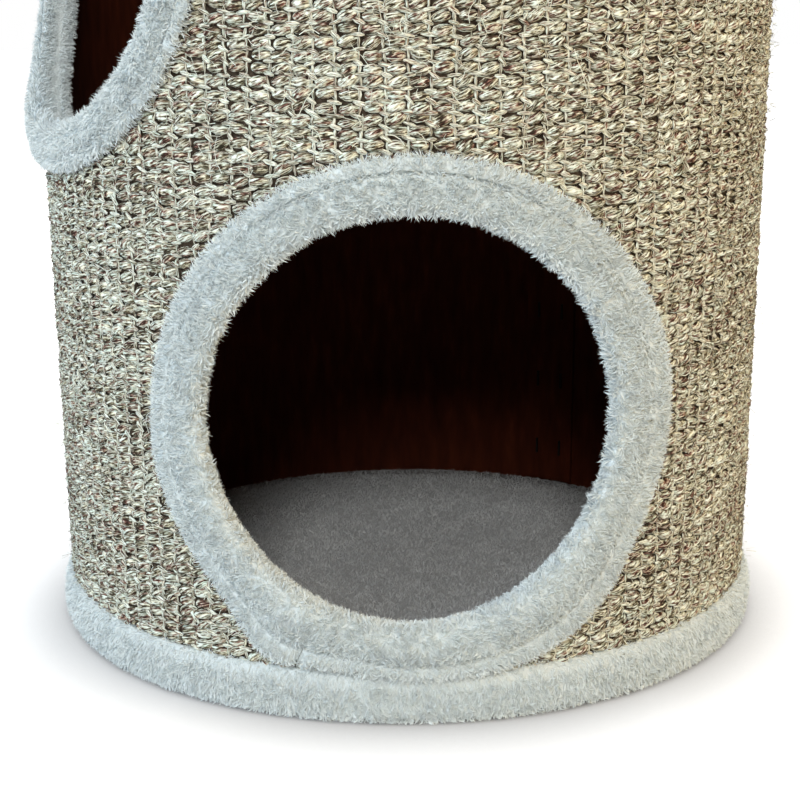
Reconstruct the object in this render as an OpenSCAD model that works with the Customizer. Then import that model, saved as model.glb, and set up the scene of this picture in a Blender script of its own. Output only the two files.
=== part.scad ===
/* [Barrel] */
// Outside diameter over the sisal wrap
barrel_d = 384; // [350:1:430]
// Thickness of the rolled hardboard wall
wall_t = 5; // [4:0.5:8]
// Thickness of the woven sisal wrap
sisal_t = 6; // [4:0.5:8]
// Gap where the rolled wall sheet meets itself
wall_joint_w = 1; // [0.5:0.5:2]
// Turn of the wall joint from the front, seen from above
wall_joint_turn = 147; // [130:1:165]
// Gap at the upright butt joint of the sisal
sisal_joint_w = 1; // [0.5:0.5:2]
// Turn of the sisal joint from the front, seen from above
sisal_joint_turn = 180; // [170:1:200]
// Glue line between pieces that are bonded together
glue_gap = 0.3; // [0.2:0.05:0.5]

/* [Floors] */
// Thickness of each round floor board
board_t = 10; // [8:0.5:16]
// Thickness of the plush lining on each floor
lining_t = 4.5; // [3:0.5:8]
// Headroom between the lower doorway trim and the middle board
lower_headroom = 1; // [0.5:0.5:40]
// Sill between the middle floor and the upper doorway trim
upper_sill = 1; // [0.5:0.5:40]
// Headroom between the upper doorway trim and the top board
upper_headroom = 24; // [1:1:80]
// Depth of the lounge from its lining to the top of the rim
lounge_depth = 96; // [84:1:140]

/* [Doorways] */
// Clear diameter of each doorway inside its trim
door_d = 184; // [150:1:200]
// Turn of the upper doorway from the front, seen from above
upper_door_turn = -63; // [-80:1:-45]
// Thickness of the trim where it lines the edge of the doorway
trim_edge_t = 7; // [5:0.5:10]
// Width of the trim outside, from the clear doorway to its rim
trim_w = 26.5; // [24:0.5:32]
// Height of the trim's roll over the sisal
trim_crest = 7; // [5.5:0.5:10]
// Width of the trim inside, past the cut edge of the wall
trim_in_w = 4; // [3:0.5:8]
// Height of the trim's roll inside the wall
trim_in_crest = 5; // [4:0.5:8]
// Thickness of the folded edge of the trim
trim_hem_t = 1.5; // [1:0.25:2.5]
// Distance of the stitch line from the rim of the trim
trim_stitch_in = 6; // [4:0.5:8]
// Height of the narrow lip outside the stitch line
trim_lip = 4.5; // [3.5:0.25:5]
// Height that is left under the stitch line
trim_stitch_h = 2.5; // [2:0.25:3]
// Gap where the two ends of the trim meet
trim_seam_w = 0.6; // [0.4:0.1:2]
// Turn of that seam round the doorway, from its right side upwards
trim_seam_turn = 245; // [200:1:340]

/* [Plush bands] */
// Thickness of the plush on the bands and the lounge wall
plush_t = 4; // [3:0.5:6]
// Height of the base band
band_h = 25.8; // [20:0.1:40]
// Rounding at the foot of the base band
band_toe = 5; // [3:0.5:8]
// Rounding at the free edges of the bands
band_brow = 6; // [4:0.5:10]
// Thickness of the hem that is turned under the base
hem_t = 2.5; // [2:0.25:4]
// Width of the hem under the base
hem_w = 46; // [30:1:70]
// Gap between the lower doorway trim and the base band
trim_band_gap = 0.4; // [0.3:0.1:5]
// Padding over the top edge of the wall
rim_top_t = 5; // [4:0.5:8]
// Height of the round top of the rim band
rim_round = 10; // [8:0.5:14]
// Drop of the rim band outside
rim_out_h = 34; // [26:1:50]
// Drop of the rim band inside
rim_in_h = 36; // [26:1:50]
// Thickness of the dust cover under the base
dust_t = 1.2; // [0.8:0.1:1.8]
// Gap between the dust cover and the edge of the hem
dust_gap = 0.5; // [0.3:0.1:3]

/* [Cushion] */
// Height of the cushion at its middle
cushion_h = 48; // [36:1:70]
// Gap between the cushion and the lounge wall
cushion_gap = 5; // [3:0.5:12]
// Height of the seam round the cushion
cushion_seam_h = 20; // [14:1:24]
// Thickness of the cushion cover
cover_t = 3; // [2:0.25:4]
// Depth of the cover's seam at the edge of the cushion
cover_seam_w = 9; // [7:0.5:14]
// Space between the cover and its filling
fill_gap = 0.4; // [0.3:0.1:1]

/* [Fasteners] */
// Screws in each board
screw_count = 6; // [4:1:10]
// Length of a screw
screw_l = 30; // [22:1:40]
// Diameter of a screw's shank
screw_d = 4; // [3:0.25:4.5]
// Diameter of a screw's countersunk head
screw_head_d = 8; // [6.5:0.25:8.5]
// Height of the countersunk head
screw_head_h = 2.6; // [2:0.1:3]
// Length of the screw's point
screw_tip_l = 5; // [3:0.5:8]
// Clearance round a screw
screw_gap = 0.1; // [0.05:0.05:0.2]
// Depth of a screw head under the face of the wall
screw_sink = 0.2; // [0.15:0.05:0.4]
// Width of the strip behind the wall joint
strip_w = 34; // [26:1:50]
// Thickness of the strip behind the wall joint
strip_t = 2.5; // [2:0.25:4]
// Gap at each end of the strip
strip_end_gap = 0.5; // [0.3:0.1:3]
// Rows of staples in each strip
staple_rows = 5; // [3:1:9]
// Width of a staple's crown
staple_w = 10; // [8:0.5:13]
// Length of a staple's legs
staple_l = 6; // [5:0.25:7]
// Thickness of the staple wire
staple_t = 1.2; // [0.8:0.1:1.6]

/* [Hidden] */

// Overrun of every cut past the face it opens
overrun = 2;
$fn = 96;

// Radii of the layers, from the outside in
sisal_or = barrel_d / 2;
sisal_ir = sisal_or - sisal_t;
wall_or = sisal_ir - glue_gap;
wall_ir = wall_or - wall_t;
seat_or = sisal_or + glue_gap;
seat_ir = wall_ir - glue_gap;
band_or = seat_or + plush_t;
lounge_r = seat_ir - plush_t;

// Doorway and trim, measured from the axis of the doorway
door_r = door_d / 2;
door_hole_r = door_r + trim_edge_t;
trim_or = door_r + trim_w;
trim_in_r = door_hole_r + trim_in_w;

// Heights, from the ground up
base_z = hem_t;
lower_floor_z = base_z + board_t;
lower_cave_z = lower_floor_z + lining_t;
lower_door_z = band_h + trim_band_gap + trim_or;
middle_z = lower_door_z + trim_in_r + lower_headroom;
middle_floor_z = middle_z + board_t;
upper_cave_z = middle_floor_z + lining_t;
upper_door_z = upper_cave_z + upper_sill + trim_in_r;
top_z = upper_door_z + trim_in_r + upper_headroom;
top_floor_z = top_z + board_t;
lounge_z = top_floor_z + lining_t;
rim_z = lounge_z + lounge_depth;
wall_top_z = rim_z - rim_top_t;

// Steps of the trim round a doorway, and of each curve in a profile
trim_steps = 60;
curve_steps = 5;
// Place of the crest across the trim
trim_crest_share = 0.5;
// Part of a half turn that the lip's outline takes before the stitch line
lip_turn = 150;

// Cushion outline: flat part of its underside, and how square its crown is
cushion_flat_share = 0.84;
cushion_crown_power = 4;
cushion_steps = 14;

function arc(centre, radii, from, to, steps, first = 0) = [
    for (i = [first : steps])
        let (a = from + (to - from) * i / steps)
        [centre.x + radii.x * cos(a), centre.y + radii.y * sin(a)]
];

// Puts its child on the barrel's radius at a height: the child's Z runs outwards
module on_radius(turn, z) {
    rotate([0, 0, turn]) translate([0, 0, z]) rotate([90, 0, 0]) children();
}

module tube(outer_r, inner_r, low_z, high_z) {
    translate([0, 0, low_z]) difference() {
        cylinder(r = outer_r, h = high_z - low_z);
        translate([0, 0, -overrun]) cylinder(r = inner_r, h = high_z - low_z + 2 * overrun);
    }
}

// Round holes through one side of the barrel for both doorways
module doorway_cuts() {
    on_radius(0, lower_door_z) cylinder(r = door_hole_r, h = barrel_d);
    on_radius(upper_door_turn, upper_door_z) cylinder(r = door_hole_r, h = barrel_d);
}

// Upright slot through a layer of the barrel
module joint_cut(turn, w) {
    rotate([0, 0, turn]) translate([-w / 2, -barrel_d, -overrun])
        cube([w, barrel_d, rim_z + 2 * overrun]);
}

// One countersunk wood screw, driven inwards from the face of the wall.
// grow widens it into the hole that takes it, which opens through the face.
module wood_screw(grow = 0) {
    head_z = wall_or - screw_sink;
    neck_z = head_z - screw_head_h;
    tip_z = wall_or - screw_l + screw_tip_l;
    shank_r = screw_d / 2 + grow;
    head_r = screw_head_d / 2 + grow;
    translate([0, 0, neck_z]) cylinder(r1 = shank_r, r2 = head_r, h = screw_head_h);
    translate([0, 0, tip_z]) cylinder(r = shank_r, h = neck_z - tip_z);
    translate([0, 0, tip_z - screw_tip_l - grow])
        cylinder(r1 = 0, r2 = shank_r, h = screw_tip_l + grow);
    if (grow > 0) translate([0, 0, head_z]) cylinder(r = head_r, h = screw_sink + overrun);
}

module screw_ring(low_z, grow = 0) {
    for (i = [0 : screw_count - 1])
        on_radius(360 * i / screw_count, low_z + board_t / 2) wood_screw(grow);
}

module floor_board(low_z) {
    difference() {
        translate([0, 0, low_z]) cylinder(r = seat_ir, h = board_t);
        screw_ring(low_z, screw_gap);
    }
}

// Plush disc with a rounded upper edge
module floor_lining(low_z) {
    edge_r = lining_t / 2;
    translate([0, 0, low_z]) rotate_extrude()
        polygon(concat(
            [[0, 0], [seat_ir, 0]],
            arc([seat_ir - edge_r, lining_t - edge_r], [edge_r, edge_r], 0, 90, curve_steps),
            [[0, lining_t]]
        ));
}

// Curved strip glued behind the joint of the wall
module joint_strip(low_z, high_z) {
    half_turn = strip_w / 2 / seat_ir * 180 / PI;
    rotate([0, 0, wall_joint_turn - 90 - half_turn])
        rotate_extrude(angle = 2 * half_turn)
        translate([seat_ir - strip_t, low_z + strip_end_gap])
        square([strip_t, high_z - low_z - 2 * strip_end_gap]);
}

// One staple: a crown on the face of the strip and two legs driven through it
module staple() {
    face_r = seat_ir - strip_t;
    translate([-staple_t / 2, -staple_w / 2, face_r - staple_t])
        cube([staple_t, staple_w, staple_t]);
    for (side = [-1, 1])
        translate([-staple_t / 2, side * (staple_w - staple_t) / 2 - staple_t / 2, face_r - staple_t])
            cube([staple_t, staple_t, staple_t + staple_l]);
}

// Two columns of staples, one on each side of the wall joint
module staple_columns(low_z, high_z) {
    side_turn = strip_w / 4 / seat_ir * 180 / PI;
    row_step = (high_z - low_z) / staple_rows;
    for (side = [-1, 1])
        for (row = [0 : staple_rows - 1])
            on_radius(wall_joint_turn + side * side_turn, low_z + (row + 0.5) * row_step) staple();
}

// A point of the trim: its distance from the doorway's axis, its distance from
// the barrel's axis, and its turn round the doorway
function trim_point(door_dist, barrel_dist, turn) =
    let (across = door_dist * cos(turn))
    [across, -sqrt(barrel_dist * barrel_dist - across * across), door_dist * sin(turn)];

// Section of the trim, as pairs of those two distances: the lip, the stitch line
// and the roll outside, round the cut edge of the wall, and the small roll inside
function trim_section() =
    let (
        crest = [door_r + trim_crest_share * trim_w, sisal_or + trim_crest],
        stitch = [trim_or - trim_stitch_in, seat_or + trim_stitch_h],
        throat_r = (sisal_or + wall_ir) / 2,
        inner_crest = [door_hole_r, wall_ir - trim_in_crest],
        tail_r = seat_ir - trim_hem_t,
        hole_r = door_hole_r - glue_gap
    )
    concat(
        arc([trim_or - trim_stitch_in / 2, seat_or + trim_hem_t],
            [trim_stitch_in / 2, trim_lip - trim_hem_t], 0, lip_turn, 4),
        arc([crest.x, stitch.y], stitch - [crest.x, 2 * stitch.y - crest.y], 0, 90, 4),
        arc([crest.x, throat_r], [crest.x - door_r, crest.y - throat_r], 90, 180, 5, 1),
        arc([inner_crest.x, throat_r],
            [inner_crest.x - door_r, throat_r - inner_crest.y], 180, 270, 4, 1),
        arc([inner_crest.x, tail_r],
            [trim_in_r - inner_crest.x, tail_r - inner_crest.y], 270, 360, 3, 1),
        [[trim_in_r, seat_ir], [hole_r, seat_ir]],
        [for (i = [0 : 3]) [hole_r + (trim_or - hole_r) * i / 3, seat_or]]
    );

// Plush trim sewn round a doorway. It follows the curve of the barrel and
// wraps the cut edge, and its two ends meet at a seam.
module door_trim(turn, z) {
    section = trim_section();
    n = len(section);
    seam = trim_seam_w / door_r * 180 / PI;
    points = [
        for (i = [0 : trim_steps])
            let (t = trim_seam_turn + seam / 2 + (360 - seam) * i / trim_steps)
            for (p = section) trim_point(p.x, p.y, t)
    ];
    sides = [
        for (i = [0 : trim_steps - 1]) for (j = [0 : n - 1])
            let (k = (j + 1) % n, a = i * n, b = a + n)
            each [[a + j, b + j, a + k], [b + j, b + k, a + k]]
    ];
    ends = [
        [for (j = [0 : n - 1]) j],
        [for (j = [0 : n - 1]) trim_steps * n + n - 1 - j]
    ];
    rotate([0, 0, turn]) translate([0, 0, z])
        polyhedron(points, concat(sides, ends), convexity = 6);
}

// Half outline of the cushion: radius, crown height, height of its underside
// and of its seam, from the middle of the top round to the middle of the bottom
function cushion_outline(r, top_h, low_h, seam_h) =
    let (flat_r = cushion_flat_share * r)
    concat(
        [for (i = [0 : cushion_steps])
            let (s = sin(90 * i / cushion_steps))
            [r * s, seam_h + (top_h - seam_h) * (1 - pow(s, cushion_crown_power))]],
        [for (i = [1 : curve_steps])
            let (s = 1 - i / curve_steps)
            [flat_r + (r - flat_r) * s, low_h + (seam_h - low_h) * s * s]],
        [[0, low_h]]
    );

module cushion_body(inset_r, inset_h) {
    translate([0, 0, lounge_z]) rotate_extrude()
        polygon(cushion_outline(
            lounge_r - cushion_gap - inset_r,
            cushion_h - inset_h, inset_h, cushion_seam_h
        ));
}

module base_board() { color("burlywood") floor_board(base_z); }

module middle_board() { color("burlywood") floor_board(middle_z); }

module top_board() { color("burlywood") floor_board(top_z); }

module barrel_wall() {
    color("saddlebrown") difference() {
        tube(wall_or, wall_ir, base_z, wall_top_z);
        doorway_cuts();
        joint_cut(wall_joint_turn, wall_joint_w);
        screw_ring(base_z, screw_gap);
        screw_ring(middle_z, screw_gap);
        screw_ring(top_z, screw_gap);
    }
}

module lower_joint_strip() { color("peru") joint_strip(lower_cave_z, middle_z); }

module upper_joint_strip() { color("peru") joint_strip(upper_cave_z, top_z); }

module joint_staples() {
    color("silver") {
        staple_columns(lower_cave_z, middle_z);
        staple_columns(upper_cave_z, top_z);
    }
}

module base_screws() { color("silver") screw_ring(base_z); }

module middle_screws() { color("silver") screw_ring(middle_z); }

module top_screws() { color("silver") screw_ring(top_z); }

module sisal_wrap() {
    color("tan") difference() {
        tube(sisal_or, sisal_ir, base_z, wall_top_z);
        doorway_cuts();
        joint_cut(sisal_joint_turn, sisal_joint_w);
    }
}

module lower_door_trim() { color("lightgray") door_trim(0, lower_door_z); }

module upper_door_trim() { color("lightgray") door_trim(upper_door_turn, upper_door_z); }

// Plush band round the foot, turned under the base as a flat hem
module base_band() {
    color("lightgray") rotate_extrude()
        polygon(concat(
            [[seat_ir - hem_w, hem_t], [seat_ir - hem_w, 0]],
            arc([band_or - band_toe, band_toe], [band_toe, band_toe], 270, 360, curve_steps),
            arc([seat_or, band_h - band_brow], [plush_t, band_brow], 0, 90, curve_steps),
            [[seat_or, hem_t]]
        ));
}

// Plush band folded over the top edge, with a drop outside and inside
module rim_band() {
    mid_r = (band_or + lounge_r) / 2;
    low_out_z = rim_z - rim_out_h;
    low_in_z = rim_z - rim_in_h;
    color("lightgray") rotate_extrude()
        polygon(concat(
            arc([seat_or, low_out_z + band_brow], [plush_t, band_brow], 270, 360, curve_steps),
            arc([mid_r, rim_z - rim_round], [band_or - mid_r, rim_round], 0, 180, 2 * curve_steps),
            arc([seat_ir, low_in_z + band_brow], [plush_t, band_brow], 180, 270, curve_steps),
            [[seat_ir, wall_top_z], [seat_or, wall_top_z]]
        ));
}

module lower_floor_lining() { color("gray") floor_lining(lower_floor_z); }

module middle_floor_lining() { color("gray") floor_lining(middle_floor_z); }

module top_floor_lining() { color("gray") floor_lining(top_floor_z); }

module lounge_wall_lining() {
    color("lightgray") tube(seat_ir, lounge_r, lounge_z, rim_z - rim_in_h - glue_gap);
}

module dust_cover() {
    color("dimgray") translate([0, 0, base_z - dust_t])
        cylinder(r = seat_ir - hem_w - dust_gap, h = dust_t);
}

module cushion_cover() {
    color("lightgray") difference() {
        cushion_body(0, 0);
        cushion_body(cover_seam_w, cover_t);
    }
}

module cushion_filling() {
    color("white") cushion_body(cover_seam_w + 3 * fill_gap, cover_t + fill_gap);
}

base_board();
middle_board();
top_board();
barrel_wall();
lower_joint_strip();
upper_joint_strip();
joint_staples();
base_screws();
middle_screws();
top_screws();
sisal_wrap();
lower_door_trim();
upper_door_trim();
base_band();
rim_band();
lower_floor_lining();
middle_floor_lining();
top_floor_lining();
lounge_wall_lining();
dust_cover();
cushion_cover();
cushion_filling();
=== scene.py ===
"""Looks of a cat barrel: woven sisal round a hardboard tube, with plush trims, bands and a cushion.

Lengths are in metres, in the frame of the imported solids: +Z up, and the lower doorway towards -Y.
"""

import math

import bpy
import numpy as np
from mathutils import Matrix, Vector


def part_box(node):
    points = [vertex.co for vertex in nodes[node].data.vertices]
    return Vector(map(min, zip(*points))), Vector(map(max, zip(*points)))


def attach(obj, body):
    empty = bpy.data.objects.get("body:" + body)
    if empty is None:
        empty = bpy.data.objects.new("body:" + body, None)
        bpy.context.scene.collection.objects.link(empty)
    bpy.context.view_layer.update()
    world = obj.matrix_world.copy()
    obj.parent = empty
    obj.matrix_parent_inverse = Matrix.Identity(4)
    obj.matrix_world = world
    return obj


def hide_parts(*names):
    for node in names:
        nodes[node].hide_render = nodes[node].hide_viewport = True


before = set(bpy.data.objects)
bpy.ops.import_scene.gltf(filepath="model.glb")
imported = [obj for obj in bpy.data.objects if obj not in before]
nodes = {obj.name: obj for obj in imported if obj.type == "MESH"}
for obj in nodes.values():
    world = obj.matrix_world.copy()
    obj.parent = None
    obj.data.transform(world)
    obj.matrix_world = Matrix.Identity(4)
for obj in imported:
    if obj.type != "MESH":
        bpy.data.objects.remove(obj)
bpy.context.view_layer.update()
MM = 0.001


# Floor boards. Three round discs sawn from raw fibreboard, one under each cave and one under
# the lounge. They slip into the tube and are screwed through its wall into their edges.

class Signal:
    """One output of a shader node. Sums and products of signals and numbers add Math nodes."""

    def __init__(self, nodes_of, socket):
        self.nodes_of = nodes_of
        self.socket = socket

    def math(self, operation, *values):
        """A Math node of that operation on this signal and the values after it."""
        return self.nodes_of.signal("Math", 0, {"operation": operation}, [self, *values])

    def __add__(self, other):
        return self.math("ADD", other)

    def __mul__(self, other):
        return self.math("MULTIPLY", other)

    def __sub__(self, other):
        return self.math("SUBTRACT", other)

    def __rsub__(self, other):
        return (self * -1.0) + other

    __radd__ = __add__
    __rmul__ = __mul__


class Nodes:
    """A node tree of a material or of the world. node() adds any node to it."""

    def __init__(self, tree):
        self.tree = tree

    def fill(self, socket, value):
        """Links a signal to a socket, or sets the socket to a plain value."""
        if isinstance(value, Signal):
            self.tree.links.new(value.socket, socket)
        else:
            socket.default_value = value

    def node(self, kind, settings=None, values=()):
        """Adds a node of that kind. Its settings, a ramp's stops among them, come before its sockets."""
        made = self.tree.nodes.new("ShaderNode" + kind)
        for key, setting in (settings or {}).items():
            if key == "stops":
                elements = made.color_ramp.elements
                while len(elements) < len(setting):
                    elements.new(1.0)
                for element, (place, colour) in zip(elements, setting):
                    element.position = place
                    element.color = (*colour, 1.0)
            else:
                setattr(made, key, setting)
        pairs = values.items() if isinstance(values, dict) else enumerate(values)
        for key, value in pairs:
            self.fill(made.inputs[key], value)
        return made

    def signal(self, kind, output, settings=None, values=()):
        """One output of a new node, as a signal."""
        return Signal(self, self.node(kind, settings, values).outputs[output])


class Finish(Nodes):
    """A material with one Principled shader."""

    def __init__(self, name, roughness, specular=0.3):
        self.material = bpy.data.materials.new(name)
        self.material.use_nodes = True
        super().__init__(self.material.node_tree)
        self.shader = self.tree.nodes["Principled BSDF"]
        self.shader.inputs["Roughness"].default_value = roughness
        self.shader.inputs["Specular IOR Level"].default_value = specular

    def place(self, scale=(1.0, 1.0, 1.0)):
        """Object coordinates, stretched by the scale."""
        spot = self.signal("TexCoord", "Object")
        return self.signal("Mapping", "Vector", None, {"Vector": spot, "Scale": scale})

    def noise(self, vector, scale, detail=3.0):
        """Cloudy noise on a vector, from 0 to 1, with about scale lumps to the metre."""
        return self.signal("TexNoise", "Fac", None, {"Vector": vector, "Scale": scale, "Detail": detail})

    def ramp(self, signal, stops):
        """The colour that a ramp of (place, colour) stops gives the signal."""
        return self.signal("ValToRGB", "Color", {"stops": stops}, {"Fac": signal})

    def mix(self, share, colour, other, blend="MIX"):
        """Two colours blended, by that share of the other one. A Mix node takes its colours in sockets
        6 and 7, and gives the colour in output 2."""
        settings = {"data_type": "RGBA", "blend_type": blend}
        return self.signal("Mix", 2, settings, {0: share, 6: colour, 7: other})

    def times(self, colour, other):
        """Two colours multiplied."""
        return self.mix(1.0, colour, other, "MULTIPLY")

    def colour(self, value):
        """Sets the base colour to a signal or a plain colour."""
        self.fill(self.shader.inputs["Base Color"], value)

    def bump(self, height, depth):
        """Raises the surface by the height signal times the depth, in metres."""
        sockets = {"Height": height, "Distance": depth, "Strength": 1.0}
        self.fill(self.shader.inputs["Normal"], self.signal("Bump", "Normal", None, sockets))

    def wear(self, *names):
        """Puts this finish on the solids of that name."""
        for name in names:
            for slot in nodes[name].material_slots:
                slot.material = self.material


fibreboard = Finish("fibreboard", roughness=0.8)
board_speckle = fibreboard.noise(fibreboard.place(), scale=900.0, detail=4.0)
board_cloud = fibreboard.noise(fibreboard.place(), scale=14.0)
fibreboard.colour(fibreboard.ramp(
    board_speckle * 0.75 + board_cloud * 0.25,
    [(0.3, (0.25, 0.16, 0.09)), (0.52, (0.47, 0.34, 0.2)), (0.72, (0.62, 0.48, 0.31))],
))
fibreboard.bump(board_speckle, 0.2 * MM)
fibreboard.wear("base_board", "middle_board", "top_board")


# Barrel wall. A sheet of dark hardboard rolled into a tube, with a strip of the same board
# glued and stapled behind the joint. Its bare inner face is what shows through the doorways.

hardboard = Finish("hardboard", roughness=0.8, specular=0.06)
press_streak = hardboard.noise(hardboard.place((1.0, 1.0, 0.25)), scale=160.0, detail=5.0)
press_cloud = hardboard.noise(hardboard.place(), scale=11.0)
hardboard.colour(hardboard.ramp(
    press_streak * 0.6 + press_cloud * 0.4,
    [(0.3, (0.025, 0.0051, 0.002)), (0.55, (0.057, 0.0117, 0.0043)), (0.75, (0.1, 0.022, 0.0085))],
))
hardboard.bump(press_streak, 0.15 * MM)
hardboard.wear("barrel_wall", "lower_joint_strip", "upper_joint_strip")


# Screws and staples. Zinc-plated steel: countersunk wood screws under the sisal, and wire staples in
# the strips behind the wall joint, whose near-black colour is painted shade for the shadow there.

def plated_steel(name, dull, bright, roughness):
    """Steel with a cloudy plating that runs from a dull to a bright colour."""
    finish = Finish(name, roughness, specular=0.5)
    finish.shader.inputs["Metallic"].default_value = 1.0
    bloom = finish.noise(finish.place(), scale=700.0)
    finish.colour(finish.ramp(bloom, [(0.3, dull), (0.7, bright)]))
    return finish


plated_steel("zinc_screws", (0.4, 0.41, 0.42), (0.66, 0.66, 0.64), 0.35).wear(
    "base_screws", "middle_screws", "top_screws",
)
# Painted shade: the staples' plating runs only through near-black colours, for the shadow inside the
# barrel.
plated_steel("shade_darkened_staples", (0.014, 0.011, 0.01), (0.03, 0.025, 0.022), 0.7).wear("joint_staples")


# Sisal wrap. A thick weave of spun sisal: fat nubs of twisted fibres stand in columns between thin
# upright warp threads, with short slanting floats between the rows. One sheet is glued round the
# tube, its ends meet at the back, and it is cut out behind the doorway trims.

def lay_mesh(name, points, faces, finish, spots):
    """A smooth mesh object from whole arrays: points, faces with a like number of corners, and the
    bake map's spot at each face corner."""
    mesh = bpy.data.meshes.new(name)
    corners = faces.shape[1]
    mesh.vertices.add(len(points))
    mesh.vertices.foreach_set("co", np.ascontiguousarray(points, np.float32).ravel())
    mesh.loops.add(faces.size)
    mesh.loops.foreach_set("vertex_index", np.ascontiguousarray(faces, np.int32).ravel())
    mesh.polygons.add(len(faces))
    mesh.polygons.foreach_set("loop_start", np.arange(0, faces.size, corners, dtype=np.int32))
    mesh.polygons.foreach_set("use_smooth", np.ones(len(faces), bool))
    layer = mesh.uv_layers.new(name="OFBake")
    layer.data.foreach_set("uv", np.ascontiguousarray(spots, np.float32).ravel())
    mesh.update(calc_edges=True)
    mesh.materials.append(finish.material)
    piece = bpy.data.objects.new(name, mesh)
    bpy.context.scene.collection.objects.link(piece)
    return piece


def grid_faces(rows, columns):
    """Quads of a grid of points in row order. They face along the row step crossed with the column
    step, where a row step goes from one row to the next."""
    first = (np.arange(rows - 1)[:, None] * columns + np.arange(columns - 1)).reshape(-1, 1)
    return first + np.array([0, columns, columns + 1, 1])


def on_barrel(turn, height, radius):
    """A place round the barrel: the turn in radians from the front, towards +X, as x, y, z."""
    return np.stack(np.broadcast_arrays(radius * np.sin(turn), -radius * np.cos(turn), height), axis=-1)


def waves(spots, wavelength, seed, count=18):
    """A smooth random field: sine waves of about one wavelength in random directions, added up.
    Its mean is 0 and its spread is 1."""
    draw = np.random.default_rng(seed)
    ways = draw.normal(size=(count, spots.shape[-1]))
    ways *= draw.uniform(0.6, 1.5, (count, 1)) / np.linalg.norm(ways, axis=1, keepdims=True)
    phases = draw.uniform(0, 2 * math.pi, count)
    return np.sin(spots @ ways.T * (2 * math.pi / wavelength) + phases).sum(-1) * math.sqrt(2 / count)


UPPER_TURN = math.radians(-63.0)
sisal_low, sisal_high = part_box("sisal_wrap")
sisal_r = (sisal_high[0] - sisal_low[0]) / 2
band_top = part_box("base_band")[1][2]
rim_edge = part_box("rim_band")[0][2]
trim_low, trim_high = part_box("lower_door_trim")
upper_low, upper_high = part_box("upper_door_trim")
trim_r = (trim_high[0] - trim_low[0]) / 2
doors = [
    (0.0, (trim_low[2] + trim_high[2]) / 2),
    (UPPER_TURN, (upper_low[2] + upper_high[2]) / 2),
]


def door_distance(turn, height):
    """Distance of a place round the barrel from the axis of the nearer doorway."""
    found = np.full(np.broadcast(turn, height).shape, 1.0)
    for door_turn, door_height in doors:
        off = turn - door_turn
        distance = np.hypot(sisal_r * np.sin(off), height - door_height)
        found = np.where(np.cos(off) > 0, np.minimum(found, distance), found)
    return found


def yarn_points(centre, size, slant, along, angle, side=0.0, tilt=0.0):
    """Points on short rolls of yarn that lie on the barrel. along runs down a roll from -1 to 1, and
    angle turns round it from its front. A roll is an ellipse that narrows towards both ends, which
    dive. side steps off along the tangent, turned by tilt. size is half length, half height, rise."""
    girth = 0.35 + 0.65 * np.sqrt(np.clip(1 - np.abs(along) ** 2.6, 0, 1))
    across = girth * size[1] * np.sin(angle) + side * np.cos(angle + tilt)
    up = size[2] * (girth * np.cos(angle) - 0.3 * np.abs(along) ** 3) - side * np.sin(angle + tilt)
    long = size[0] * along
    radius = centre[2] + up
    turn = centre[0] + (long * np.cos(slant) - across * np.sin(slant)) / radius
    height = centre[1] + long * np.sin(slant) + across * np.cos(slant)
    return on_barrel(turn, height, radius)


COLUMN_W = 10.2 * MM
ROW_H = 5.35 * MM
SHEET_TUCK = 6 * MM
WEAVE_TUCK = 9 * MM
JOINT_W = 1.2 * MM
BACKING_R = sisal_r - 3.1 * MM
SECTORS = 5
YARN_TONE = 0.555
columns = round(2 * math.pi * sisal_r / COLUMN_W)
rows = int((rim_edge - band_top + 2 * SHEET_TUCK) / ROW_H)
joint_turn = JOINT_W / sisal_r
column_turn = (2 * math.pi - joint_turn) / columns
sisal_draw = np.random.default_rng(11)
cell_row, cell_column = np.divmod(np.arange(rows * columns), columns)
cell_turn = -math.pi + joint_turn / 2 + (cell_column + 0.5) * column_turn
cell_height = band_top - SHEET_TUCK + (cell_row + 0.5) * ROW_H
shown = door_distance(cell_turn, cell_height) > trim_r - WEAVE_TUCK
cell_row, cell_column = cell_row[shown], cell_column[shown]
cell_turn, cell_height = cell_turn[shown], cell_height[shown]
cells = len(cell_row)
sheet = np.column_stack([cell_column * COLUMN_W, cell_row * ROW_H])
cell_tone = (
    YARN_TONE
    + 0.02 * sisal_draw.normal(size=rows)[cell_row]
    + 0.05 * waves(sheet * (1.0, 9.0), 55 * MM, 12)
    + 0.02 * waves(sheet, 120 * MM, 13)
)
cell_turn = cell_turn + 0.5 * MM * waves(sheet, 40 * MM, 14) / sisal_r
cell_height = cell_height + 0.45 * MM * waves(sheet, 34 * MM, 15)

FIBRE_STRIP = 0.2
sisal = Finish("sisal_yarn", roughness=0.85, specular=0.25)
yarn_map = sisal.signal("UVMap", "UV", {"uv_map": "OFBake"})
map_across, map_up = (sisal.signal("SeparateXYZ", axis, None, [yarn_map]) for axis in ("X", "Y"))
spun = map_up.math("GREATER_THAN", FIBRE_STRIP + 0.02)


def strands(along, across):
    """Noise about 0, drawn out along the yarn: so many lumps to the map's width and its height."""
    stretched = sisal.signal(
        "Mapping", "Vector", None, {"Vector": yarn_map, "Scale": (along, across, 1.0)},
    )
    return sisal.noise(stretched, scale=1.0, detail=2.0) - 0.5


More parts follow.
